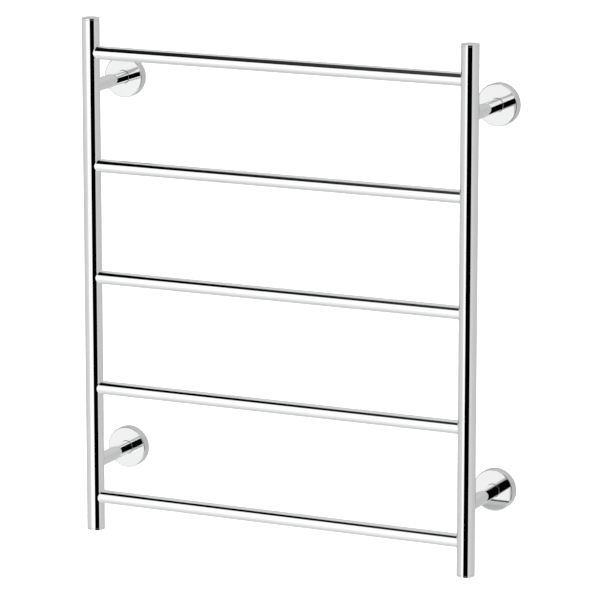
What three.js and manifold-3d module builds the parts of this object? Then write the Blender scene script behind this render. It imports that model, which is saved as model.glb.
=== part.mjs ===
// Wall-hung heated towel rack: two posts, five rungs and four bracket arms with round wall covers.
// Millimetres, +Z up, +X to the right, +Y into the wall. The origin lies on the wall's surface,
// midway between the four wall plates.

import * as THREE from "three";
import { mergeVertices } from "three/addons/utils/BufferGeometryUtils.js";
import Module from "manifold-3d";

// ---------- driving dimensions ----------

const HEIGHT = 740; // over the end caps
const POST_SPACING = 575; // between the posts' axes
const WALL_TO_POST = 110; // from the wall to the posts' axes

const POST_R = 12.7;
const POST_WALL = 1.2;
const RUNG_R = 9.5;
const RUNG_WALL = 1;
const RUNG_COUNT = 5;
const RUNG_END_OFFSET = 49; // from the rack's end to the nearest rung's axis

const ARM_R = 9.5;
const ARM_WALL = 1.5;
const ARM_END_OFFSET = 98; // from the rack's end to the bracket's axis
const ARM_TO_WALL = 5; // from the arm's open end to the wall

const CAP_THICK = 2.5;
const CAP_BEVEL = 0.6;
const CAP_SPIGOT = 8;

const COVER_R = 30;
const COVER_DEPTH = 14;
const COVER_SKIN = 1.5;
const COVER_BEVEL = 0.5;
const COLLAR_R = 13;
const COLLAR_DEPTH = 7.5;
const COVER_BORE_GAP = 0.3; // lets the cover slide along the arm

const RING_SECTION_R = 0.75;
const RING_FROM_FACE = 4.2; // from the cover's front face to the O-ring's middle
const RING_GROOVE_W = 2.4;
const RING_GROOVE_DEEP = 1.8;
const RING_INNER_R = 9.95;

const PLATE_R = 26;
const PLATE_THICK = 4;
const SPIGOT_R = 7.6;
const SPIGOT_REACH = 30; // from the wall to the spigot's end
const SPIGOT_BORE_R = 3.6;
const SPIGOT_BEVEL = 1;
const SCREW_HOLE_R = 2.75;
const SCREW_SINK_R = 5;
const SCREW_OFFSET = 17;

const GRUB_R = 2.4;
const GRUB_FROM_WALL = 21;
const GRUB_INNER = 5.6; // from the arm's axis to the grub screw's tip
const GRUB_OUTER = 9.2; // from the arm's axis to the grub screw's socket end
const GRUB_HOLE_R = 2.75;
const GRUB_SOCKET_R = 1.4;
const GRUB_SOCKET_DEEP = 1;
const DIMPLE_R = 2.8;

const CABLE_R = 2.5;
const CABLE_BEND_R = 16;
const CABLE_TAIL = 24; // from the last post's axis to the cable's end, inside the top rung
const LEAD_R = 2.8;
const SPLICE_R = 5;
const SPLICE_FROM_WALL = 40;
const SPLICE_LENGTH = 36;
const SPLICE_WAIST_R = 4;
const SPLICE_SHOULDER = 2;
const GROMMET_R = 5.2;
const GROMMET_LENGTH = 3;
const END_SEAL_R = 3.6;
const END_SEAL_LENGTH = 18;

const CUTOUT_SIZE = [8, 5, 24];
const CUTOUT_BEVEL = 0.8;
const CUTOUT_OFFSET = 5.8; // behind the left post's axis
const EARTH_CLIP_WALL = 0.6;
const EARTH_CLIP_LENGTH = 14;
const EARTH_CLIP_ABOVE_ARM = 26;
const EARTH_CLIP_MOUTH = 14;
const CRIMP_R = 1.9;
const WEB_THICK = 1;
const EARTH_WIRE_R = 0.9;
const EARTH_WIRE_OFFSET = 3.7; // above the arm's axis
const EARTH_WIRE_BEND_R = 12;
const EARTH_WIRE_TURN_Y = -96; // where the wire starts to bend up into the post

const GAP = 0.3; // between pieces that touch
const POST_BORE_R = POST_R - POST_WALL;
const HALF_HEIGHT = HEIGHT / 2;
const POST_X = POST_SPACING / 2;
const ARM_Z = HALF_HEIGHT - ARM_END_OFFSET;
const RUNG_PITCH = (HEIGHT - 2 * RUNG_END_OFFSET) / (RUNG_COUNT - 1);
const POST_CABLE_HOLE_R = 8;
const ARM_CABLE_HOLE_R = 5.5;
const EARTH_WIRE_Y = EARTH_WIRE_TURN_Y - EARTH_WIRE_BEND_R; // where the wire runs up the post
const EARTH_CLIP_Z = EARTH_CLIP_ABOVE_ARM - ARM_Z;

const POST_SIDES = 24;
const TUBE_SIDES = 20;
const COVER_SIDES = 28;
const SMALL_SIDES = 12;
const CABLE_SIDES = 8;
const RING_SIDES = 6;

// rung 1 is the lowest
const rungHeights = Array.from(
  { length: RUNG_COUNT },
  (_, i) => RUNG_END_OFFSET + i * RUNG_PITCH - HALF_HEIGHT,
);

// ---------- materials ----------

const surface = (color, roughness, metalness) =>
  new THREE.MeshStandardMaterial({ color, roughness, metalness });
const chrome = surface(0xe8e9ea, 0.05, 1);
const zincPlate = surface(0xb4b6b8, 0.35, 1);
const darkSteel = surface(0x3c3d40, 0.4, 1);
const blackRubber = surface(0x161616, 0.8, 0);
const whiteSleeve = surface(0xdedcd6, 0.5, 0);
const redSilicone = surface(0x8e3b2a, 0.6, 0);
const brass = surface(0xc8a24e, 0.3, 1);
const greenInsulation = surface(0x3f8f3c, 0.6, 0);
const leadSheath = surface(0xd8d8d6, 0.6, 0);

// ---------- solids ----------

const wasm = await Module();
wasm.setup();

// A closed geometry as a solid, without the flat triangles that a lathe leaves on its axis.
function solid(geometry) {
  const bare = geometry.clone();
  bare.deleteAttribute("normal");
  bare.deleteAttribute("uv");
  const merged = mergeVertices(bare, 1e-4);
  const index = merged.index.array;
  const faces = [];
  for (let i = 0; i < index.length; i += 3) {
    const [a, b, c] = [index[i], index[i + 1], index[i + 2]];
    if (a !== b && b !== c && c !== a) faces.push(a, b, c);
  }
  const vertProperties = new Float32Array(merged.attributes.position.array);
  return new wasm.Manifold(new wasm.Mesh({ numProp: 3, vertProperties, triVerts: new Uint32Array(faces) }));
}

function geometryOf(body) {
  const { vertProperties, triVerts } = body.getMesh();
  const geometry = new THREE.BufferGeometry();
  geometry.setAttribute("position", new THREE.BufferAttribute(vertProperties, 3));
  geometry.setIndex(new THREE.BufferAttribute(triVerts, 1));
  geometry.computeVertexNormals();
  return geometry;
}

function part(name, body, material) {
  const mesh = new THREE.Mesh(geometryOf(body), material);
  mesh.name = name;
  return mesh;
}

const cut = (body, ...tools) => tools.reduce((left, tool) => left.subtract(tool), body);

// A solid of revolution about Y, from an outline of [radius, y] pairs, and the same about Z or X.
function turnedY(outline, sides) {
  return new THREE.LatheGeometry(outline.map(([r, y]) => new THREE.Vector2(r, y)), sides);
}
const turnedZ = (outline, sides) => turnedY(outline, sides).rotateX(Math.PI / 2);
const turnedX = (outline, sides) => turnedY(outline, sides).rotateZ(-Math.PI / 2);

const rodOutline = (r, from, to) => [[0, from], [r, from], [r, to], [0, to]];
const ringOutline = (inner, outer, from, to) =>
  [[inner, from], [outer, from], [outer, to], [inner, to], [inner, from]];

const block = (size, middle) => solid(new THREE.BoxGeometry(...size).translate(...middle));

// ---------- posts, caps and rungs ----------

function postBody(innerSide, hasLeadEntry) {
  const reach = HALF_HEIGHT - CAP_THICK - GAP;
  const tube = solid(turnedZ(ringOutline(POST_BORE_R, POST_R, -reach, reach), POST_SIDES));
  const span = [0, innerSide * 2 * POST_R].sort((a, b) => a - b);
  const holes = rungHeights.map((z) =>
    solid(turnedX(rodOutline(POST_CABLE_HOLE_R, ...span), SMALL_SIDES).translate(0, 0, z)));
  if (hasLeadEntry) {
    const entry = turnedY(rodOutline(ARM_CABLE_HOLE_R, 0, 2 * POST_R), SMALL_SIDES);
    holes.push(solid(entry.translate(0, 0, -ARM_Z)));
  }
  return cut(tube, ...holes);
}

// Local z = 0 is the face that meets the tube, with the spigot below it.
function capBody() {
  const spigotR = POST_BORE_R - GAP;
  return solid(turnedZ([
    [0, -CAP_SPIGOT],
    [spigotR, -CAP_SPIGOT],
    [spigotR, 0],
    [POST_R, 0],
    [POST_R, CAP_THICK - CAP_BEVEL],
    [POST_R - CAP_BEVEL, CAP_THICK],
    [0, CAP_THICK],
  ], POST_SIDES));
}

// What a tube's end loses where it meets a post, so that it fits the post's round side.
const postSaddle = () => turnedZ(rodOutline(POST_R + GAP, -3 * RUNG_R, 3 * RUNG_R), POST_SIDES);

function rungBody() {
  const tube = solid(turnedX(ringOutline(RUNG_R - RUNG_WALL, RUNG_R, -POST_X, POST_X), TUBE_SIDES));
  return cut(tube, solid(postSaddle().translate(-POST_X, 0, 0)), solid(postSaddle().translate(POST_X, 0, 0)));
}

// ---------- brackets (local frame: the arm's axis on Y, the wall at y = 0) ----------

function armBody() {
  const tube = turnedY(ringOutline(ARM_R - ARM_WALL, ARM_R, -WALL_TO_POST, -ARM_TO_WALL), TUBE_SIDES);
  const grubHole = turnedZ(rodOutline(GRUB_HOLE_R, -2 * ARM_R, 0), SMALL_SIDES);
  return cut(
    solid(tube),
    solid(postSaddle().translate(0, -WALL_TO_POST, 0)),
    solid(grubHole.translate(0, -GRUB_FROM_WALL, 0)),
  );
}

function coverBody() {
  const bore = ARM_R + COVER_BORE_GAP;
  const front = -COVER_DEPTH;
  const inside = front + COVER_SKIN;
  const ringY = front + RING_FROM_FACE;
  const groove = [ringY - RING_GROOVE_W / 2, ringY + RING_GROOVE_W / 2];
  return solid(turnedY([
    [bore, front],
    [COVER_R - COVER_BEVEL, front],
    [COVER_R, front + COVER_BEVEL],
    [COVER_R, -GAP],
    [COVER_R - COVER_SKIN, -GAP],
    [COVER_R - COVER_SKIN, inside],
    [COLLAR_R, inside],
    [COLLAR_R, front + COLLAR_DEPTH],
    [bore, front + COLLAR_DEPTH],
    [bore, groove[1]],
    [bore + RING_GROOVE_DEEP, groove[1]],
    [bore + RING_GROOVE_DEEP, groove[0]],
    [bore, groove[0]],
    [bore, front],
  ], COVER_SIDES));
}

function ringBody() {
  const ring = new THREE.TorusGeometry(RING_INNER_R + RING_SECTION_R, RING_SECTION_R, RING_SIDES, TUBE_SIDES);
  return solid(ring.rotateX(Math.PI / 2).translate(0, RING_FROM_FACE - COVER_DEPTH, 0));
}

function wallPlateBody() {
  const disc = solid(turnedY([
    [0, -SPIGOT_REACH],
    [SPIGOT_R - SPIGOT_BEVEL, -SPIGOT_REACH],
    [SPIGOT_R, SPIGOT_BEVEL - SPIGOT_REACH],
    [SPIGOT_R, -PLATE_THICK],
    [PLATE_R, -PLATE_THICK],
    [PLATE_R, 0],
    [0, 0],
  ], TUBE_SIDES));
  const bore = solid(turnedY(rodOutline(SPIGOT_BORE_R, -2 * SPIGOT_REACH, 1), SMALL_SIDES));
  const grommetSeat = solid(turnedY(rodOutline(GROMMET_R + GAP, -GROMMET_LENGTH - GAP, 1), SMALL_SIDES));
  const dimple = solid(turnedZ(rodOutline(DIMPLE_R, -2 * SPIGOT_R, -GRUB_INNER + GAP), SMALL_SIDES)
    .translate(0, -GRUB_FROM_WALL, 0));
  const screwHoles = [-1, 1].map((side) => {
    const sink = SCREW_SINK_R - SCREW_HOLE_R;
    return solid(turnedY([
      [0, -PLATE_THICK - 1],
      [SCREW_SINK_R + 1, -PLATE_THICK - 1],
      [SCREW_HOLE_R, sink - PLATE_THICK],
      [SCREW_HOLE_R, 1],
      [0, 1],
    ], SMALL_SIDES).translate(side * SCREW_OFFSET, 0, 0));
  });
  return cut(disc, bore, grommetSeat, dimple, ...screwHoles);
}

function grubScrewBody() {
  const hexSocket = new THREE.CylinderGeometry(GRUB_SOCKET_R, GRUB_SOCKET_R, 2 * GRUB_SOCKET_DEEP, 6)
    .rotateX(Math.PI / 2)
    .translate(0, 0, -GRUB_OUTER);
  const shank = turnedZ(rodOutline(GRUB_R, -GRUB_OUTER, -GRUB_INNER), SMALL_SIDES);
  return cut(solid(shank), solid(hexSocket)).translate([0, -GRUB_FROM_WALL, 0]);
}

// ---------- heating and earthing (whole-rack frame) ----------

// A route of straight runs joined by round bends, given as its corner points. Extruding needs
// stations only at the runs' ends and around the bends, so the parameter steps over stations.
class CableRoute extends THREE.Curve {
  constructor(corners, bendR, stepsPerBend = 5) {
    super();
    const points = corners.map((c) => new THREE.Vector3(...c));
    this.stations = [this.station(points[0], points[1].clone().sub(points[0]))];
    for (let i = 1; i < points.length - 1; i++) {
      const into = points[i].clone().sub(points[i - 1]).normalize();
      const out = points[i + 1].clone().sub(points[i]).normalize();
      const middle = points[i].clone().addScaledVector(into, -bendR).addScaledVector(out, bendR);
      for (let k = 0; k <= stepsPerBend; k++) {
        const a = (k / stepsPerBend) * (Math.PI / 2);
        const along = into.clone().multiplyScalar(Math.cos(a)).addScaledVector(out, Math.sin(a));
        const outward = into.clone().multiplyScalar(Math.sin(a)).addScaledVector(out, -Math.cos(a));
        this.stations.push(this.station(middle.clone().addScaledVector(outward, bendR), along));
      }
    }
    const last = points.length - 1;
    this.stations.push(this.station(points[last], points[last].clone().sub(points[last - 1])));
  }
  station(at, along) {
    return { at: at.clone(), along: along.clone().normalize() };
  }
  get steps() {
    return this.stations.length - 1;
  }
  nearest(u) {
    return this.stations[Math.round(u * this.steps)];
  }
  getPointAt(u, target = new THREE.Vector3()) {
    return target.copy(this.nearest(u).at);
  }
  getTangentAt(u, target = new THREE.Vector3()) {
    return target.copy(this.nearest(u).along);
  }
}

function cableBody(route, r, sides = CABLE_SIDES) {
  const section = new THREE.Shape(Array.from({ length: sides }, (_, i) => {
    const a = (i / sides) * 2 * Math.PI;
    return new THREE.Vector2(r * Math.cos(a), r * Math.sin(a));
  }));
  return solid(new THREE.ExtrudeGeometry(section, { steps: route.steps, extrudePath: route }));
}

// From the splice in the lower right arm, down to the lowest rung, then across each rung in turn.
function heatingCableBody() {
  const y = -WALL_TO_POST;
  const corners = [[POST_X, -SPLICE_FROM_WALL - SPLICE_LENGTH - GAP, -ARM_Z], [POST_X, y, -ARM_Z]];
  rungHeights.forEach((z, i) => {
    const side = i % 2 === 0 ? 1 : -1;
    const last = i === RUNG_COUNT - 1;
    corners.push([side * POST_X, y, z]);
    corners.push([last ? -side * (POST_X - CABLE_TAIL) : -side * POST_X, y, z]);
  });
  return cableBody(new CableRoute(corners, CABLE_BEND_R), CABLE_R);
}

function endSealBody() {
  const from = -(POST_X - CABLE_TAIL) - GAP;
  const z = rungHeights[RUNG_COUNT - 1];
  const sleeve = turnedX(rodOutline(END_SEAL_R, from - END_SEAL_LENGTH, from), SMALL_SIDES);
  return solid(sleeve.translate(0, -WALL_TO_POST, z));
}

function supplyLeadBody() {
  return solid(turnedY(rodOutline(LEAD_R, -SPLICE_FROM_WALL + GAP, -GAP), SMALL_SIDES));
}

function spliceSleeveBody() {
  const from = -SPLICE_FROM_WALL - SPLICE_LENGTH;
  return solid(turnedY([
    [0, from],
    [EARTH_WIRE_OFFSET + EARTH_WIRE_R, from],
    [SPLICE_R, from + SPLICE_SHOULDER],
    [SPLICE_R, -SPLICE_FROM_WALL - SPLICE_SHOULDER],
    [SPLICE_WAIST_R, -SPLICE_FROM_WALL],
    [0, -SPLICE_FROM_WALL],
  ], SMALL_SIDES));
}

function grommetBody() {
  return solid(turnedY(ringOutline(LEAD_R + GAP, GROMMET_R, -GROMMET_LENGTH, -GAP), SMALL_SIDES));
}

function cutoutBody() {
  const [width, depth, height] = CUTOUT_SIZE;
  const quadrants = [[1, -1], [1, 1], [-1, 1], [-1, -1]];
  const corners = quadrants.flatMap(([sx, sy], i) => {
    const x = (sx * width) / 2;
    const y = (sy * depth) / 2;
    const beside = new THREE.Vector2(x - sx * CUTOUT_BEVEL, y);
    const below = new THREE.Vector2(x, y - sy * CUTOUT_BEVEL);
    return i % 2 === 0 ? [beside, below] : [below, beside];
  });
  const can = new THREE.ExtrudeGeometry(new THREE.Shape(corners), { depth: height, bevelEnabled: false });
  return solid(can.translate(0, 0, -height / 2));
}

// A springy C that grips the post's bore, with a crimp barrel for the earth wire on a short web.
function earthClipBody() {
  const outer = POST_BORE_R - GAP;
  const inner = outer - EARTH_CLIP_WALL;
  const half = EARTH_CLIP_LENGTH / 2;
  const crimpY = EARTH_WIRE_Y + WALL_TO_POST;
  const webReach = outer - crimpY - EARTH_CLIP_WALL / 2;
  const ring = solid(turnedZ(ringOutline(inner, outer, -half, half), TUBE_SIDES));
  const mouth = block([EARTH_CLIP_MOUTH, outer, 3 * half], [0, -outer, 0]);
  const barrel = solid(turnedZ(rodOutline(CRIMP_R, -half, half), SMALL_SIDES).translate(0, crimpY, 0));
  const web = block([WEB_THICK, webReach, half], [0, crimpY + webReach / 2, 0]);
  const wireHole = turnedZ(rodOutline(EARTH_WIRE_R + GAP, -2 * half, 0), SMALL_SIDES);
  return cut(cut(ring, mouth).add(web).add(barrel), solid(wireHole.translate(0, crimpY, 0)));
}

function earthWireBody() {
  const z = -ARM_Z + EARTH_WIRE_OFFSET;
  const corners = [
    [POST_X, -SPLICE_FROM_WALL - SPLICE_LENGTH - GAP, z],
    [POST_X, EARTH_WIRE_Y, z],
    [POST_X, EARTH_WIRE_Y, EARTH_CLIP_Z - GAP],
  ];
  return cableBody(new CableRoute(corners, EARTH_WIRE_BEND_R), EARTH_WIRE_R);
}

// ---------- assembly ----------

const rack = new THREE.Group();

for (const [sideName, side] of [["left", -1], ["right", 1]]) {
  const post = new THREE.Group();
  post.position.set(side * POST_X, -WALL_TO_POST, 0);
  post.add(part(sideName + "_post", postBody(-side, side > 0), chrome));
  for (const [endName, end] of [["top", 1], ["bottom", -1]]) {
    const cap = part(`${endName}_cap_${sideName}`, capBody(), chrome);
    cap.position.z = end * (HALF_HEIGHT - CAP_THICK);
    if (end < 0) cap.rotation.x = Math.PI;
    post.add(cap);
  }
  rack.add(post);
}

rungHeights.forEach((z, i) => {
  const rung = part(`rung_${i + 1}`, rungBody(), chrome);
  rung.position.set(0, -WALL_TO_POST, z);
  rack.add(rung);
});

for (const [levelName, level] of [["upper", 1], ["lower", -1]]) {
  for (const [sideName, side] of [["left", -1], ["right", 1]]) {
    const corner = `${levelName}_${sideName}`;
    const bracket = new THREE.Group();
    bracket.position.set(side * POST_X, 0, level * ARM_Z);
    bracket.add(part("arm_" + corner, armBody(), chrome));
    bracket.add(part("cover_" + corner, coverBody(), chrome));
    bracket.add(part("o_ring_" + corner, ringBody(), blackRubber));
    bracket.add(part("wall_plate_" + corner, wallPlateBody(), zincPlate));
    bracket.add(part("grub_screw_" + corner, grubScrewBody(), darkSteel));
    rack.add(bracket);
  }
}

const leadBracket = new THREE.Group();
leadBracket.position.set(POST_X, 0, -ARM_Z);
leadBracket.add(part("lead_grommet", grommetBody(), blackRubber));
leadBracket.add(part("supply_lead", supplyLeadBody(), leadSheath));
leadBracket.add(part("splice_sleeve", spliceSleeveBody(), whiteSleeve));
rack.add(leadBracket);

rack.add(part("heating_cable", heatingCableBody(), redSilicone));
rack.add(part("cable_end_seal", endSealBody(), blackRubber));
rack.add(part("earth_wire", earthWireBody(), greenInsulation));

const earthClip = part("earth_clip", earthClipBody(), brass);
earthClip.position.set(POST_X, -WALL_TO_POST, EARTH_CLIP_Z);
rack.add(earthClip);

const cutout = part("thermal_cutout", cutoutBody(), zincPlate);
cutout.position.set(-POST_X, -WALL_TO_POST + CUTOUT_OFFSET, (rungHeights[0] + rungHeights[1]) / 2);
rack.add(cutout);

export default rack;
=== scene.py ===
"""Looks of a wall-hung heated towel rack: chrome tubes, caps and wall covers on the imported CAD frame.

Metres, +Z up, +X to the right, +Y into the wall, as in the CAD.
"""

from math import atan2, cos, pi, radians, sin, sqrt

import bpy
import numpy as np
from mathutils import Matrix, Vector


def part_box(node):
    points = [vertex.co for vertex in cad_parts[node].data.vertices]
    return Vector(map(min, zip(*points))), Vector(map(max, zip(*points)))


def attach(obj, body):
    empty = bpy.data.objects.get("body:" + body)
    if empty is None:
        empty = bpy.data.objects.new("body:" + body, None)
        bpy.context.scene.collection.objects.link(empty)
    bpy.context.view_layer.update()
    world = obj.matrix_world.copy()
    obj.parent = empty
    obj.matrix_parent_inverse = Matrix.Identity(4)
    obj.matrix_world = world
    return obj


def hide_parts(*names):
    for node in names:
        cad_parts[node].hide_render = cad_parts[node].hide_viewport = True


MM = 0.001

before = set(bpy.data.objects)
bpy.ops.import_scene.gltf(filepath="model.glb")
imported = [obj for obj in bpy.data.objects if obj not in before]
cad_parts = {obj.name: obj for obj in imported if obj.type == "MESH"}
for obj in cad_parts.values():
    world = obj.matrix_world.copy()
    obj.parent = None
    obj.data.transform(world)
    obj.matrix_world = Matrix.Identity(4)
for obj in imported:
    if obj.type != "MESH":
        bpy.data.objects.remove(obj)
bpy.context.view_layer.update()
scene = bpy.context.scene
scene.view_settings.view_transform = "Standard"

# ---------- camera ----------

CAMERA_AIM = (0.0357, -0.110, -0.0045)
CAMERA_DISTANCE = 5.5755
CAMERA_YAW = radians(25.068)
CAMERA_PITCH = radians(12.281)
CAMERA_LENS = 241.66
SENSOR = 36

camera_data = bpy.data.cameras.new("camera")
camera_data.lens = CAMERA_LENS
camera_data.sensor_width = SENSOR
camera_data.clip_end = 200
camera = bpy.data.objects.new("camera", camera_data)
camera.rotation_euler = (pi / 2 - CAMERA_PITCH, 0, CAMERA_YAW)
to_camera = Vector((
    sin(CAMERA_YAW) * cos(CAMERA_PITCH), -cos(CAMERA_YAW) * cos(CAMERA_PITCH), sin(CAMERA_PITCH)))
camera.location = Vector(CAMERA_AIM) + to_camera * CAMERA_DISTANCE
scene.collection.objects.link(camera)
scene.camera = camera

# ---------- dimensions that the frame doesn't state ----------

POST_WALL = 1.2 * MM
RUNG_WALL = 1.0 * MM
ARM_WALL = 1.5 * MM
WELD = 0.9 * MM        # fillet where a tube meets a post
WELD_ROOT = 0.02 * MM  # from the post's skin to the weld's edge
CLEAR_OF_WELD = 3 * WELD
BORE_ROOT = 0.05 * MM  # from the post's skin to the end of a tube's bore
EDGE = 0.15 * MM       # softened corner of a turned piece
CAP_EDGE = 0.6 * MM
COVER_EDGE = 1.8 * MM
COVER_SKIN = 1.5 * MM
COVER_FINE_EDGE = 0.3 * MM
COVER_INNER_FILLET = 0.5 * MM
COVER_BORE_GAP = 0.3 * MM
COLLAR_WALL = 3.2 * MM
COLLAR_DEPTH = 7.5 * MM
GROOVE_HALF = 1.2 * MM
GROOVE_DEEP = 1.8 * MM
GROOVE_EDGE = 0.1 * MM
CAP_SEAT_GAP = 0.1 * MM
CAP_SPIGOT_GAP = 0.2 * MM
LEAD_GAP = 0.15 * MM

RUNG_HOLE_R = 8 * MM      # in the post, for the heating cable
LEAD_HOLE_R = 5.5 * MM
GRUB_HOLE_R = 2.75 * MM
HOLE_CHAMFER = 0.25 * MM
HOLE_CHAMFER_LEAN = 0.7  # share of the hole's direction in the normal at the chamfer
GRUB_TIP_R = 1.6 * MM
GRUB_CHAMFER = 0.4 * MM
GRUB_THREAD = 0.28 * MM
GRUB_PITCH = 0.8 * MM
GRUB_SOCKET_R = 1.45 * MM
GRUB_SOCKET_DEEP = 1.2 * MM
GRUB_SOCKET_POINT = 0.3 * MM  # drill point below the hexagon
GRUB_THREAD_ROWS = 24
GRUB_PATCH_COLUMNS = 6
GRUB_PATCH_HALF = 3.6 * MM
RUNG_PATCH_HALF = 9.5 * MM
PLATE_R = 26 * MM
PLATE_THICK = 4 * MM
PLATE_CHAMFER = 0.4 * MM
SPIGOT_R = 7.6 * MM
SPIGOT_BORE_R = 3.6 * MM
SPIGOT_CHAMFER = 1 * MM
SEAT_R = 5.5 * MM
SEAT_DEEP = 3.3 * MM
PLATE_SCREW_R = 2.75 * MM
PLATE_SINK_R = 5 * MM
PLATE_SCREW_OFFSET = 17 * MM
CUT_PAST = 1 * MM      # how far a cutting tool reaches past the face it opens
DIMPLE_R = 2.8 * MM
DIMPLE_FROM_AXIS = 5.3 * MM

AROUND_POST = 128
AROUND_TUBE = 96
AROUND_COVER = 160
AROUND_SMALL = 60
AROUND_SEAL_SECTION = 20
SADDLE_STEPS = 8
RUNG_PATCH_COLUMNS = AROUND_POST // 8
PATCH_ROWS = 6  # above and below a hole's middle
ROUNDING_STEP = radians(9)
SHARP = radians(30)


# ---------- mesh building ----------

def full_circle(count):
    return [2 * pi * i / count for i in range(count)]


class Shell:
    """Vertices with exact normals, and faces, gathered ring by ring."""

    def __init__(self):
        self.points, self.normals, self.faces = [], [], []

    def ring(self, points, normals):
        start = len(self.points)
        self.points += [tuple(p) for p in points]
        self.normals += [tuple(n) for n in normals]
        return list(range(start, start + len(points)))

    def bridge(self, a, b):
        """Faces between two closed rings of the same length."""
        n = len(a)
        for i in range(n):
            j = (i + 1) % n
            self.faces.append((a[i], a[j], b[j], b[i]))

    def chain(self, rings):
        """Faces from each ring to the next."""
        for a, b in zip(rings, rings[1:]):
            self.bridge(a, b)

    def fan(self, ring, point, normal, flip=False):
        centre = self.ring([point], [normal])[0]
        n = len(ring)
        for i in range(n):
            j = (i + 1) % n
            self.faces.append((ring[j], ring[i], centre) if flip else (ring[i], ring[j], centre))

    def build(self, name, material, sharp=None):
        mesh = bpy.data.meshes.new(name)
        mesh.from_pydata(self.points, [], self.faces)
        mesh.validate()
        mesh.polygons.foreach_set("use_smooth", [True] * len(mesh.polygons))
        if sharp is None:
            mesh.normals_split_custom_set_from_vertices(self.normals)
        else:
            mesh.set_sharp_from_angle(angle=sharp)
        mesh.materials.append(material)
        piece = bpy.data.objects.new(name, mesh)
        scene.collection.objects.link(piece)
        return piece


def rounded(corners, closed):
    """An outline of (radius, height, rounding) corners as dense (r, h, normal_r, normal_h) points.

    The outline runs with its outside on the right-hand side."""
    count = len(corners)
    out = []
    for i, (r, h, rounding) in enumerate(corners):
        here = np.array((r, h))
        ends = not closed and i in (0, count - 1)
        before = np.array(corners[i - 1][:2]) if (closed or i) else None
        after = np.array(corners[(i + 1) % count][:2]) if (closed or i < count - 1) else None
        into = (here - before) / np.linalg.norm(here - before) if before is not None else None
        away = (after - here) / np.linalg.norm(after - here) if after is not None else None
        if ends:
            along = into if into is not None else away
            out.append((r, h, along[1], -along[0]))
            continue
        turn = atan2(into[0] * away[1] - into[1] * away[0], into @ away)
        if abs(turn) < 1e-6:
            out.append((r, h, into[1], -into[0]))
            continue
        back = rounding * np.tan(abs(turn) / 2)
        start = here - into * back
        side = 1 if turn > 0 else -1
        outward = np.array((into[1], -into[0]))
        centre = start - outward * rounding * side
        steps = max(3, int(abs(turn) / ROUNDING_STEP))
        for k in range(steps + 1):
            a = turn * k / steps
            n = np.array((outward[0] * cos(a) - outward[1] * sin(a),
                          outward[0] * sin(a) + outward[1] * cos(a)))
            p = centre + n * rounding * side
            out.append((*p, *n))
    return out


def turned(name, material, outline, around, place, closed=True, sharp=None):
    """A solid of revolution. place(r_cos, r_sin, h) turns local coordinates into the rack's frame."""
    shell = Shell()
    rings = []
    angles = full_circle(around)
    origin = np.array(place(0, 0, 0))
    for r, h, nr, nh in outline:
        if r < 1e-9:
            rings.append((place(0, 0, h), np.array(place(0, 0, nh)) - origin))
            continue
        rings.append(shell.ring(
            [place(r * cos(a), r * sin(a), h) for a in angles],
            [np.array(place(nr * cos(a), nr * sin(a), nh)) - origin for a in angles]))
    pairs = list(zip(rings, rings[1:] + rings[:1])) if closed else list(zip(rings, rings[1:]))
    for a, b in pairs:
        if isinstance(a, tuple):
            shell.fan(b, *a, flip=True)
        elif isinstance(b, tuple):
            shell.fan(a, *b)
        else:
            shell.bridge(a, b)
    return shell.build(name, material, sharp)


def pierced_skin(shell, at, heights, holes, around, inward=False):
    """Rings of at(h) = (points, normals) at the heights, bridged except for a patch around each hole.

    A hole is (column, height, half of the patch's columns, half of its height). Returns the rings and the
    patches' rims, each anticlockwise from outside."""
    levels = sorted({round(h, 7) for h in heights} | {
        round(h + half_h * k / PATCH_ROWS, 7)
        for _, h, _, half_h in holes for k in range(-PATCH_ROWS, PATCH_ROWS + 1)})
    rings = [shell.ring(*at(h)) for h in levels]
    patches = []
    for column, h, half_columns, half_h in holes:
        first = levels.index(round(h - half_h, 7))
        patches.append((column - half_columns, 2 * half_columns, first, first + 2 * PATCH_ROWS))
    for k in range(len(rings) - 1):
        a, b = rings[k], rings[k + 1]
        for i in range(around):
            if any(lo <= k < hi and (i - left) % around < width for left, width, lo, hi in patches):
                continue
            j = (i + 1) % around
            face = (a[i], a[j], b[j], b[i])
            shell.faces.append(face[::-1] if inward else face)
    rims = []
    for left, width, lo, hi in patches:
        right = left + width
        rims.append([rings[lo][i % around] for i in range(left, right)]
                    + [rings[k][right % around] for k in range(lo, hi)]
                    + [rings[hi][i % around] for i in range(right, left, -1)]
                    + [rings[k][left % around] for k in range(hi, lo, -1)])
    return rings, rims


def drill(shell, place, outer_rim, inner_rim, column, around, height, outer_r, inner_r, hole_r):
    """The wall of a round hole through a tube, from the outer skin's rim to the inner skin's."""
    turn = 2 * pi * column / around
    origin = Vector(place(0, 0, 0))
    out = Vector(place(cos(turn), sin(turn), 0)) - origin
    side = Vector(place(-sin(turn), cos(turn), 0)) - origin
    along = Vector(place(0, 0, 1)) - origin
    middle = origin + along * height
    angles = []
    for index in outer_rim:
        offset = Vector(shell.points[index]) - middle
        angles.append(atan2(offset @ along, offset @ side))

    def circle(r, skin_r, drop, lean):
        points, normals = [], []
        for a in angles:
            across = r * cos(a)
            height_out = sqrt(skin_r ** 2 - across ** 2)
            points.append(middle + side * across + along * r * sin(a) + out * (height_out - drop))
            radial = (out * height_out + side * across).normalized()
            normals.append((radial * (1 - lean) - (side * cos(a) + along * sin(a)) * lean).normalized())
        return shell.ring(points, normals)

    shell.chain([outer_rim,
                 circle(hole_r + HOLE_CHAMFER, outer_r, 0, 0),
                 circle(hole_r, outer_r, HOLE_CHAMFER, HOLE_CHAMFER_LEAN),
                 circle(hole_r, inner_r, 0, 1),
                 inner_rim])


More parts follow.
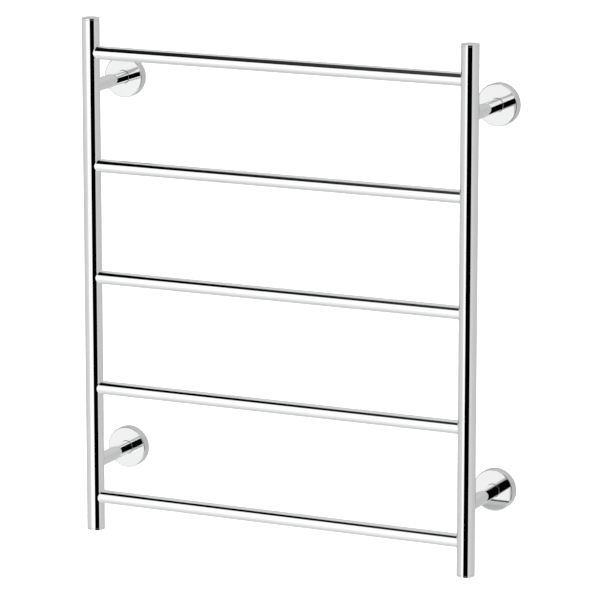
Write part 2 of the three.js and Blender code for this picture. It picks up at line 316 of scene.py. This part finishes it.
def cut(piece, *tools):
    """piece with the tools' shapes taken out of it, and the tools gone."""
    for tool in tools:
        modifier = piece.modifiers.new("cut", "BOOLEAN")
        modifier.operation = "DIFFERENCE"
        modifier.solver = "EXACT"
        modifier.object = tool
    bpy.context.view_layer.update()
    result = bpy.data.meshes.new_from_object(piece.evaluated_get(bpy.context.evaluated_depsgraph_get()))
    piece.modifiers.clear()
    piece.data = result
    for tool in tools:
        bpy.data.objects.remove(tool)
    result.polygons.foreach_set("use_smooth", [True] * len(result.polygons))
    result.set_sharp_from_angle(angle=SHARP)
    return piece


def crisp(corners):
    """An outline of straight stretches, for a piece whose edges are shaded sharp by their angle."""
    return [(r, h, 1, 0) for r, h in corners]


def about_z(x, y, z, up=1):
    """Height along +Z, or along -Z when up is -1 (turned half round X, so faces keep their side)."""
    return lambda c, s, h: (x + c, y + up * s, z + up * h)


def about_y(x, y, z):
    """Height along +Y."""
    return lambda c, s, h: (x + s, y + h, z + c)


# ---------- materials ----------

def principled(name, **values):
    material = bpy.data.materials.new(name)
    material.use_nodes = True
    nodes = material.node_tree.nodes
    shader = nodes["Principled BSDF"]
    for key, value in values.items():
        shader.inputs[key].default_value = value
    return material, nodes, material.node_tree.links, shader


def noise(nodes, links, coords, scale, detail=3.0, stretch=(1, 1, 1)):
    mapping = nodes.new("ShaderNodeMapping")
    mapping.inputs["Scale"].default_value = stretch
    links.new(coords, mapping.inputs["Vector"])
    texture = nodes.new("ShaderNodeTexNoise")
    texture.inputs["Scale"].default_value = scale
    texture.inputs["Detail"].default_value = detail
    links.new(mapping.outputs["Vector"], texture.inputs["Vector"])
    return texture.outputs["Fac"]


def spread(nodes, links, value, low, high, start=0.3, end=0.7):
    """A noise value mapped from its usual range to low..high."""
    ranged = nodes.new("ShaderNodeMapRange")
    ranged.inputs["From Min"].default_value = start
    ranged.inputs["From Max"].default_value = end
    ranged.inputs["To Min"].default_value = low
    ranged.inputs["To Max"].default_value = high
    links.new(value, ranged.inputs["Value"])
    return ranged.outputs["Result"]


def tinted(nodes, links, value, dark, light, start=0.3, end=0.7):
    ramp = nodes.new("ShaderNodeValToRGB")
    ramp.color_ramp.elements[0].position = start
    ramp.color_ramp.elements[1].position = end
    ramp.color_ramp.elements[0].color = (*dark, 1)
    ramp.color_ramp.elements[1].color = (*light, 1)
    links.new(value, ramp.inputs["Fac"])
    return ramp.outputs["Color"]


def bumped(nodes, links, shader, height, distance, strength=1.0):
    bump = nodes.new("ShaderNodeBump")
    bump.inputs["Distance"].default_value = distance
    bump.inputs["Strength"].default_value = strength
    links.new(height, bump.inputs["Height"])
    links.new(bump.outputs["Normal"], shader.inputs["Normal"])


def finish_material(name, dark, light, grain, rough, relief, metallic=0.0, stretch=(1, 1, 1), **values):
    """A finish whose colour, gloss and relief all follow a grain of the given scale."""
    material, nodes, links, shader = principled(name, Metallic=metallic, **values)
    coords = nodes.new("ShaderNodeTexCoord").outputs["Object"]
    grain_value = noise(nodes, links, coords, grain, stretch=stretch)
    cloud = noise(nodes, links, coords, grain / 12, detail=2.0)
    links.new(tinted(nodes, links, cloud, dark, light), shader.inputs["Base Color"])
    links.new(spread(nodes, links, grain_value, *rough), shader.inputs["Roughness"])
    bumped(nodes, links, shader, grain_value, relief)
    return material


finishes = {
    "chrome": finish_material(
        "chrome_polished", (0.915, 0.92, 0.925), (0.935, 0.937, 0.94),
        220, (0.015, 0.045), 0.6e-6, metallic=1.0),
    "chrome_cover": finish_material(
        "chrome_pressed", (0.81, 0.813, 0.816), (0.83, 0.832, 0.834),
        260, (0.02, 0.05), 0.6e-6, metallic=1.0),
    "zinc_plate": finish_material(
        "zinc_plated_steel", (0.50, 0.53, 0.57), (0.66, 0.67, 0.66),
        900, (0.24, 0.40), 6e-6, metallic=1.0),
    "dark_steel": finish_material(
        "black_oxide_steel", (0.035, 0.035, 0.04), (0.075, 0.075, 0.08),
        1600, (0.34, 0.52), 5e-6, metallic=0.9),
    "black_rubber": finish_material(
        "black_rubber", (0.012, 0.012, 0.012), (0.028, 0.028, 0.029), 2200, (0.55, 0.75), 8e-6),
    "lead_sheath": finish_material(
        "lead_sheath_pvc", (0.60, 0.60, 0.59), (0.70, 0.70, 0.68), 1500, (0.40, 0.55), 6e-6),
    "white_sleeve": finish_material(
        "white_heat_sleeve", (0.66, 0.65, 0.62), (0.76, 0.75, 0.72), 1400, (0.40, 0.58), 10e-6),
    "red_silicone": finish_material(
        "red_silicone", (0.24, 0.05, 0.03), (0.31, 0.07, 0.045), 1300, (0.45, 0.62), 8e-6),
    "green_insulation": finish_material(
        "green_insulation", (0.04, 0.22, 0.035), (0.06, 0.29, 0.05), 1400, (0.40, 0.55), 6e-6),
    "brass": finish_material(
        "spring_brass", (0.58, 0.40, 0.15), (0.68, 0.49, 0.20),
        1200, (0.22, 0.38), 5e-6, metallic=1.0),
    "cutout_can": finish_material(
        "cutout_can_steel", (0.50, 0.51, 0.53), (0.60, 0.61, 0.62),
        1100, (0.26, 0.42), 6e-6, metallic=1.0),
}


# ---------- pieces ----------

def stand_for(piece, node, body):
    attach(piece, body)
    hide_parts(node)
    return piece


def span(node):
    """Middle and half-size of a CAD node's box."""
    low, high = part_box(node)
    return (low + high) / 2, (high - low) / 2


chrome = finishes["chrome"]
SIDES = {"left": -1, "right": 1}
RUNGS = range(1, 6)
posts = {}

LEAD_SIDE, LEAD_ARM = "right", "arm_lower_right"

for side in SIDES:
    node = side + "_post"
    middle, half = span(node)
    posts[side] = (middle.x, middle.y, half.x)
    bore = half.x - POST_WALL
    inner_column = 0 if side == "left" else AROUND_POST // 2
    drilled = [(inner_column, span(f"rung_{n}")[0].z, RUNG_HOLE_R) for n in RUNGS]
    if side == LEAD_SIDE:
        drilled.append((AROUND_POST // 4, span(LEAD_ARM)[0].z, LEAD_HOLE_R))
    place = about_z(middle.x, middle.y, 0)
    angles = full_circle(AROUND_POST)

    def skin_ring(r, sign):
        return lambda h: ([place(r * cos(a), r * sin(a), h) for a in angles],
                          [(sign * cos(a), sign * sin(a), 0) for a in angles])

    def end_ring(r, h, nr, nh):
        return shell.ring([place(r * cos(a), r * sin(a), h) for a in angles],
                          [(nr * cos(a), nr * sin(a), nh) for a in angles])

    shell = Shell()
    patches = [(column, h, RUNG_PATCH_COLUMNS, RUNG_PATCH_HALF) for column, h, _ in drilled]
    straight = [-half.z + EDGE, half.z - EDGE]
    outer, outer_rims = pierced_skin(shell, skin_ring(half.x, 1), straight, patches, AROUND_POST)
    inner, inner_rims = pierced_skin(
        shell, skin_ring(bore, -1), straight, patches, AROUND_POST, inward=True)
    for (column, h, hole_r), outer_rim, inner_rim in zip(drilled, outer_rims, inner_rims):
        drill(shell, place, outer_rim, inner_rim, column, AROUND_POST, h, half.x, bore, hole_r)
    tilt = sqrt(0.5)
    bevel = EDGE * (1 - tilt)
    edge = [(half.x - bevel, half.z - bevel, tilt, tilt), (half.x - EDGE, half.z, 0, 1),
            (bore + EDGE, half.z, 0, 1), (bore + bevel, half.z - bevel, -tilt, tilt)]
    for end, row in ((-1, 0), (1, -1)):
        loops = [outer[row], *(end_ring(r, end * h, nr, end * nh) for r, h, nr, nh in edge), inner[row]]
        shell.chain(loops[::-1] if end < 0 else loops)
    stand_for(shell.build("tube_" + node, chrome), node, "rack")

for end, up in (("top", 1), ("bottom", -1)):
    for side in SIDES:
        node = f"{end}_cap_{side}"
        low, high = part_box(node)
        x, y, post_r = posts[side]
        tip = up * (high.z if up > 0 else low.z)
        depth = high.z - low.z
        post_middle, post_half = span(side + "_post")
        seat = abs(post_middle.z + up * post_half.z) + CAP_SEAT_GAP
        spigot = post_r - POST_WALL - CAP_SPIGOT_GAP
        outline = rounded([
            (0, tip - depth, 0),
            (spigot, tip - depth, EDGE),
            (spigot, seat, EDGE),
            (post_r, seat, EDGE),
            (post_r, tip, CAP_EDGE),
            (0, tip, 0),
        ], False)
        disc = turned("disc_" + node, chrome, outline, AROUND_POST, about_z(x, y, 0, up), closed=False)
        stand_for(disc, node, "rack")


def saddle_rows(radius):
    """Rows of a tube's end fillet: (distance from the post's skin, tube radius, tilt of the normal)."""
    rows = []
    for k in range(SADDLE_STEPS + 1):
        a = pi / 2 * k / SADDLE_STEPS
        rows.append((WELD * (1 - cos(a)) + WELD_ROOT, radius + WELD * (1 - sin(a)), pi / 2 - a))
    return rows


def leaning(points, radials, tilt, post_x, post_y):
    """Normals between each point's radial direction and the post's own outward direction."""
    normals = []
    for point, radial in zip(points, radials):
        post_out = Vector((point[0] - post_x, point[1] - post_y, 0)).normalized()
        normals.append((Vector(radial) * cos(tilt) + post_out * sin(tilt)).normalized())
    return normals


def rung(node):
    middle, half = span(node)
    radius, bore = half.z, half.z - RUNG_WALL
    angles = full_circle(AROUND_TUBE)
    shell = Shell()

    def reach(side, across, away):
        """How far along X the tube's end is, at that distance from the post's axis plane and skin."""
        x, _, post_r = posts[side]
        return x - SIDES[side] * sqrt((post_r + away) ** 2 - across ** 2)

    def row(side, away, r, tilt, sign=1):
        points = [(reach(side, r * cos(a), away), middle.y + r * cos(a), middle.z + r * sin(a))
                  for a in angles]
        radials = [(0, sign * cos(a), sign * sin(a)) for a in angles]
        return shell.ring(points, leaning(points, radials, tilt, *posts[side][:2]))

    left = [row("left", *r) for r in saddle_rows(radius)]
    right = [row("right", *r) for r in saddle_rows(radius)][::-1]
    inner = [row(side, BORE_ROOT, bore, 0, -1) for side in ("right", "left")]
    shell.chain(left + right + inner + left[:1])
    stand_for(shell.build("tube_" + node, chrome), node, "rack")


for number in RUNGS:
    rung(f"rung_{number}")


def arm(corner, side):
    """The bracket's tube, welded to the post and drilled from below for the grub screw."""
    middle, half = span("arm_" + corner)
    _, arm_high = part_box("arm_" + corner)
    x, z, radius, bore = middle.x, middle.z, half.x, half.x - ARM_WALL
    post_x, post_y, post_r = posts[side]
    shell = Shell()
    angles = full_circle(AROUND_TUBE)

    def row(away, r, tilt, sign=1):
        across = [r * sin(a) for a in angles]
        points = [(x + c, post_y + sqrt((post_r + away) ** 2 - c ** 2), z + r * cos(a))
                  for a, c in zip(angles, across)]
        radials = [(sign * sin(a), 0, sign * cos(a)) for a in angles]
        return shell.ring(points, leaning(points, radials, tilt, post_x, post_y))

    def skin_ring(r, sign=1):
        return lambda y: ([(x + r * sin(a), y, z + r * cos(a)) for a in angles],
                          [(sign * sin(a), 0, sign * cos(a)) for a in angles])

    grub_y = span("grub_screw_" + corner)[0].y
    under = AROUND_TUBE // 2
    patch = [(under, grub_y, GRUB_PATCH_COLUMNS, GRUB_PATCH_HALF)]
    straight = [post_y + post_r + CLEAR_OF_WELD, arm_high.y]
    outer, outer_rims = pierced_skin(shell, skin_ring(radius), straight, patch, AROUND_TUBE)
    inner, inner_rims = pierced_skin(
        shell, skin_ring(bore, -1), straight, patch, AROUND_TUBE, inward=True)
    drill(shell, about_y(x, 0, z), outer_rims[0], inner_rims[0], under, AROUND_TUBE, grub_y,
          radius, bore, GRUB_HOLE_R)
    weld = [row(*r) for r in saddle_rows(radius)] + [outer[0]]
    shell.chain(weld)
    shell.chain([outer[-1], inner[-1]])
    shell.chain([inner[0], row(BORE_ROOT, bore, 0, -1), weld[0]])
    stand_for(shell.build("tube_arm_" + corner, chrome), "arm_" + corner, "rack")


def grub_screw(corner):
    """A threaded screw with a hexagon socket, its axis pointing down from the arm's."""
    z = span("arm_" + corner)[0].z
    middle, half = span("grub_screw_" + corner)
    place = about_z(middle.x, middle.y, z, up=-1)
    tip, head = z - middle.z - half.z, z - middle.z + half.z
    shell = Shell()
    angles = full_circle(AROUND_SMALL)

    def ring(radius, h):
        points = [place(radius(a) * cos(a), radius(a) * sin(a), h) for a in angles]
        return shell.ring(points, [(0, 0, 1)] * AROUND_SMALL)

    def thread(h):
        def radius(a):
            phase = (h / GRUB_PITCH + a / (2 * pi)) % 1
            return half.x - GRUB_THREAD * abs(2 * phase - 1)
        return radius

    def hexagon(a):
        return GRUB_SOCKET_R * cos(pi / 6) / cos((a % (pi / 3)) - pi / 6)

    from_h, to_h = tip + GRUB_CHAMFER, head - GRUB_CHAMFER
    rings = [ring(lambda a: GRUB_TIP_R, tip)]
    for k in range(GRUB_THREAD_ROWS + 1):
        h = from_h + (to_h - from_h) * k / GRUB_THREAD_ROWS
        rings.append(ring(thread(h), h))
    rings += [ring(lambda a: half.x - GRUB_CHAMFER, head), ring(hexagon, head),
              ring(hexagon, head - GRUB_SOCKET_DEEP)]
    shell.fan(rings[0], place(0, 0, tip), (0, 0, 1), flip=True)
    shell.chain(rings)
    shell.fan(rings[-1], place(0, 0, head - GRUB_SOCKET_DEEP - GRUB_SOCKET_POINT), (0, 0, -1))
    stand_for(shell.build("socket_screw_" + corner, finishes["dark_steel"], SHARP),
              "grub_screw_" + corner, "rack")


def wall_plate(corner):
    """A disc with its spigot, countersunk screw holes and a dimple for the grub screw."""
    middle = span("arm_" + corner)[0]
    x, z = middle.x, middle.z
    grub_y = span("grub_screw_" + corner)[0].y
    low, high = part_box("wall_plate_" + corner)
    zinc = finishes["zinc_plate"]
    plate = turned("wall_flange_" + corner, zinc, crisp([
        (SPIGOT_BORE_R, low.y),
        (SPIGOT_R - SPIGOT_CHAMFER, low.y),
        (SPIGOT_R, low.y + SPIGOT_CHAMFER),
        (SPIGOT_R, -PLATE_THICK),
        (PLATE_R - PLATE_CHAMFER, -PLATE_THICK),
        (PLATE_R, -PLATE_THICK + PLATE_CHAMFER),
        (PLATE_R, high.y),
        (SEAT_R, high.y),
        (SEAT_R, high.y - SEAT_DEEP),
        (SPIGOT_BORE_R, high.y - SEAT_DEEP),
    ]), AROUND_TUBE, about_y(x, 0, z), sharp=SHARP)
    sink = PLATE_SINK_R - PLATE_SCREW_R
    tools = [turned("tool", zinc, crisp([
        (0, -PLATE_THICK - CUT_PAST),
        (PLATE_SINK_R + CUT_PAST, -PLATE_THICK - CUT_PAST),
        (PLATE_SCREW_R, sink - PLATE_THICK),
        (PLATE_SCREW_R, CUT_PAST),
        (0, CUT_PAST),
    ]), AROUND_SMALL, about_y(x + way * PLATE_SCREW_OFFSET, 0, z), closed=False) for way in (-1, 1)]
    tools.append(turned("tool", zinc, crisp([
        (0, DIMPLE_FROM_AXIS),
        (DIMPLE_R, DIMPLE_FROM_AXIS),
        (DIMPLE_R, 2 * SPIGOT_R),
        (0, 2 * SPIGOT_R),
    ]), AROUND_SMALL, about_z(x, grub_y, z, up=-1), closed=False))
    stand_for(cut(plate, *tools), "wall_plate_" + corner, "rack")


def seal(corner):
    middle = span("arm_" + corner)[0]
    ring_mid, ring_half = span("o_ring_" + corner)
    section = ring_half.y
    section_from_axis = ring_half.x - section
    outline = [(section_from_axis + section * cos(a), ring_mid.y + section * sin(a), cos(a), sin(a))
               for a in full_circle(AROUND_SEAL_SECTION)]
    stand_for(turned("seal_" + corner, finishes["black_rubber"], outline, AROUND_TUBE,
                     about_y(middle.x, 0, middle.z)),
              "o_ring_" + corner, "cover_body_" + corner)


def cover(corner):
    """The wall cover: a hollow disc whose collar holds the O-ring in a groove."""
    arm_mid, arm_half = span("arm_" + corner)
    low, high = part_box("cover_" + corner)
    front, back, cover_r = low.y, high.y, span("cover_" + corner)[1].x
    inside = front + COVER_SKIN
    bore = arm_half.x + COVER_BORE_GAP
    collar_r, collar_end = bore + COLLAR_WALL, front + COLLAR_DEPTH
    ring_y = span("o_ring_" + corner)[0].y
    groove_front, groove_back = ring_y - GROOVE_HALF, ring_y + GROOVE_HALF
    groove_r = bore + GROOVE_DEEP
    outline = rounded([
        (bore, front, COVER_FINE_EDGE),
        (cover_r, front, COVER_EDGE),
        (cover_r, back, COVER_FINE_EDGE),
        (cover_r - COVER_SKIN, back, COVER_FINE_EDGE),
        (cover_r - COVER_SKIN, inside, COVER_INNER_FILLET),
        (collar_r, inside, COVER_INNER_FILLET),
        (collar_r, collar_end, COVER_FINE_EDGE),
        (bore, collar_end, COVER_FINE_EDGE),
        (bore, groove_back, GROOVE_EDGE),
        (groove_r, groove_back, GROOVE_EDGE),
        (groove_r, groove_front, GROOVE_EDGE),
        (bore, groove_front, GROOVE_EDGE),
    ], True)
    stand_for(turned("flange_cover_" + corner, finishes["chrome_cover"], outline, AROUND_COVER,
                     about_y(arm_mid.x, 0, arm_mid.z)),
              "cover_" + corner, "cover_body_" + corner)


for level in ("lower", "upper"):
    for side in SIDES:
        corner = f"{level}_{side}"
        arm(corner, side)
        grub_screw(corner)
        wall_plate(corner)
        seal(corner)
        cover(corner)

# lead entry
lead_mid, _ = span(LEAD_ARM)
x, z = lead_mid.x, lead_mid.z
low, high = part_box("lead_grommet")
lead_low, lead_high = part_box("supply_lead")
grommet_r, lead_r = (high.x - low.x) / 2, (lead_high.x - lead_low.x) / 2
outline = rounded([
    (lead_r + LEAD_GAP, low.y, 0.4 * MM),
    (grommet_r, low.y, 0.3 * MM),
    (grommet_r, high.y, 0.5 * MM),
    (lead_r + LEAD_GAP, high.y, 0.6 * MM),
], True)
stand_for(turned("entry_grommet", finishes["black_rubber"], outline, AROUND_SMALL, about_y(x, 0, z)),
          "lead_grommet", "rack")
outline = rounded([
    (0, lead_low.y, 0),
    (lead_r, lead_low.y, 0.4 * MM),
    (lead_r, lead_high.y, 0.3 * MM),
    (0, lead_high.y, 0),
], False)
stand_for(turned("inner_lead", finishes["lead_sheath"], outline, AROUND_SMALL, about_y(x, 0, z),
                 closed=False),
          "supply_lead", "rack")

# the pieces inside the tubes keep their CAD shape
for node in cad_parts.values():
    if node.hide_render:
        continue
    slot_name = node.material_slots[0].material.name.split(".")[0]
    node.material_slots[0].material = finishes[slot_name]

# ---------- stage: floor, backdrop, soft light, and the panels that the chrome mirrors ----------

def stage_mesh(name, points, faces, material):
    mesh = bpy.data.meshes.new(name)
    mesh.from_pydata(points, [], faces)
    mesh.materials.append(material)
    piece = bpy.data.objects.new(name, mesh)
    scene.collection.objects.link(piece)
    return piece


def glow(name, strength, fade=None):
    """A plain emitter. fade=(x from, x to, strength at x from) changes it along X."""
    material = bpy.data.materials.new(name)
    material.use_nodes = True
    nodes, links = material.node_tree.nodes, material.node_tree.links
    nodes.clear()
    emission = nodes.new("ShaderNodeEmission")
    emission.inputs["Strength"].default_value = strength
    if fade:
        split = nodes.new("ShaderNodeSeparateXYZ")
        links.new(nodes.new("ShaderNodeTexCoord").outputs["Object"], split.inputs[0])
        faded = spread(nodes, links, split.outputs["X"], fade[2], strength, *fade[:2])
        links.new(faded, emission.inputs["Strength"])
    output = nodes.new("ShaderNodeOutputMaterial")
    links.new(emission.outputs[0], output.inputs["Surface"])
    return material


def only_in_reflections(piece):
    piece.visible_camera = False
    piece.visible_diffuse = False
    piece.visible_shadow = False
    piece.visible_transmission = False
    piece.visible_volume_scatter = False


def panel(name, corners, brightness, fade=None):
    """A flat panel seen only in the chrome."""
    piece = stage_mesh(name, corners, [(0, 1, 2, 3)], glow(name, brightness, fade))
    only_in_reflections(piece)
    return piece


FLOOR_Z = -0.75
FLOOR_R = 40
FLOOR_SIDES = 64
floor_material, nodes, links, shader = principled("floor_paper", Roughness=0.9)
shader.inputs["Specular IOR Level"].default_value = 0.1
coords = nodes.new("ShaderNodeTexCoord").outputs["Object"]
links.new(tinted(nodes, links, noise(nodes, links, coords, 3), (0.86, 0.86, 0.86), (0.9, 0.9, 0.9)),
          shader.inputs["Base Color"])
rim = [(FLOOR_R * cos(a), FLOOR_R * sin(a), FLOOR_Z) for a in full_circle(FLOOR_SIDES)]
floor = stage_mesh("floor", rim, [tuple(range(FLOOR_SIDES))], floor_material)
floor.visible_glossy = False

SKY_R = 60
SKY_COLUMNS, SKY_ROWS = 32, 16
SKY_GLOW = 1.15
points, faces = [], []
for j in range(SKY_ROWS + 1):
    el = pi * j / SKY_ROWS - pi / 2
    for i in range(SKY_COLUMNS):
        az = 2 * pi * i / SKY_COLUMNS
        points.append((SKY_R * cos(el) * cos(az), SKY_R * cos(el) * sin(az), SKY_R * sin(el)))
for j in range(SKY_ROWS):
    row = j * SKY_COLUMNS
    for i in range(SKY_COLUMNS):
        k = (i + 1) % SKY_COLUMNS
        faces.append((row + i, row + k, row + SKY_COLUMNS + k, row + SKY_COLUMNS + i))
sky = stage_mesh("backdrop", points, faces, glow("backdrop_white", SKY_GLOW))
sky.visible_glossy = False
sky.visible_diffuse = False
sky.visible_shadow = False

world = bpy.data.worlds.new("studio")
scene.world = world
world.use_nodes = True
nodes, links = world.node_tree.nodes, world.node_tree.links
background = nodes["Background"]
direction = nodes.new("ShaderNodeTexCoord").outputs["Generated"]


def facing(towards):
    """How nearly a ray points that way: 1 along it, -1 against it."""
    product = nodes.new("ShaderNodeVectorMath")
    product.operation = "DOT_PRODUCT"
    product.inputs[1].default_value = Vector(towards).normalized()
    links.new(direction, product.inputs[0])
    return product.outputs["Value"]


def grey_ramp(value, stops, low=-1.0, high=1.0):
    """Brightness along a value from low to high, from (value, brightness) stops."""
    position = spread(nodes, links, value, 0, 1, low, high)
    ramp = nodes.new("ShaderNodeValToRGB")
    elements = ramp.color_ramp.elements
    for i, (at, level) in enumerate(stops):
        element = elements[i] if i < 2 else elements.new(1.0)
        element.position = (at - low) / (high - low)
        element.color = (level, level, level, 1)
    links.new(position, ramp.inputs["Fac"])
    return ramp.outputs["Color"]


def added(a, b):
    total = nodes.new("ShaderNodeVectorMath")
    total.operation = "ADD"
    links.new(a, total.inputs[0])
    links.new(b, total.inputs[1])
    return total.outputs["Vector"]


ahead = grey_ramp(facing((0, -0.8, -0.6)), [
    (-1, 0.55), (-0.6, 0.56), (0.1, 0.62), (0.4, 0.68), (0.63, 0.70), (0.75, 0.76), (0.85, 0.86),
    (0.95, 0.93)])
above = grey_ramp(facing((0, 0, 1)), [(0.2, 0.0), (0.8, 0.14)])
links.new(added(ahead, above), background.inputs["Color"])

BOX_Y = -6.0
BOX_LEFT, BOX_RIGHT = -4.0, 1.3
BOX_FOOT, BOX_TOP = -4.4, 5.2
BOX_GLOW = 1.065
WING_RIGHT, WING_FOOT = 4.7, 0.95


def upright(left, right, foot, top):
    return [(left, BOX_Y, foot), (right, BOX_Y, foot), (right, BOX_Y, top), (left, BOX_Y, top)]


panel("soft_box", upright(BOX_LEFT, BOX_RIGHT, BOX_FOOT, BOX_TOP), BOX_GLOW)
panel("soft_box_wing", upright(BOX_RIGHT, WING_RIGHT, WING_FOOT, BOX_TOP), BOX_GLOW)

# the black stripe down each post
FLAG_Y, FLAG_NEAR_Y = -1.46, -0.48
FLAG_LEFT, FLAG_RIGHT = 0.088, 0.714
FLAG_LEFT_FOOT, FLAG_LEFT_TOP = -0.87, 0.62
FLAG_RIGHT_FOOT, FLAG_RIGHT_TOP = -0.72, 0.33
panel("dark_panel", [(FLAG_LEFT, FLAG_Y, FLAG_LEFT_FOOT), (FLAG_RIGHT, FLAG_NEAR_Y, FLAG_RIGHT_FOOT),
                     (FLAG_RIGHT, FLAG_NEAR_Y, FLAG_RIGHT_TOP), (FLAG_LEFT, FLAG_Y, FLAG_LEFT_TOP)], 0.0)

# the dark band along each rung
CEILING_BACK_Y = -0.064
CEILING_LEFT, CEILING_FRONT_RIGHT, CEILING_BACK_RIGHT = -2.4, -0.35, 0.24
CEILING_FRONT_Z, CEILING_BACK_Z = 1.17, 0.543
CEILING_GLOW = 0.05
panel("dark_ceiling", [(CEILING_LEFT, FLAG_Y, CEILING_FRONT_Z),
                       (CEILING_FRONT_RIGHT, FLAG_Y, CEILING_FRONT_Z),
                       (CEILING_BACK_RIGHT, CEILING_BACK_Y, CEILING_BACK_Z),
                       (CEILING_LEFT, CEILING_BACK_Y, CEILING_BACK_Z)],
      CEILING_GLOW, fade=(-0.5, 0.12, 0.0))

SUN_SPREAD = radians(70)
SUN_TILT = radians(15)
SUN_STRENGTH = 3.4
light_data = bpy.data.lights.new("soft_light", "SUN")
light_data.angle = SUN_SPREAD
light_data.energy = SUN_STRENGTH
light = bpy.data.objects.new("soft_light", light_data)
light.rotation_euler = (SUN_TILT, 0, 0)
light.visible_camera = False
light.visible_glossy = False
scene.collection.objects.link(light)
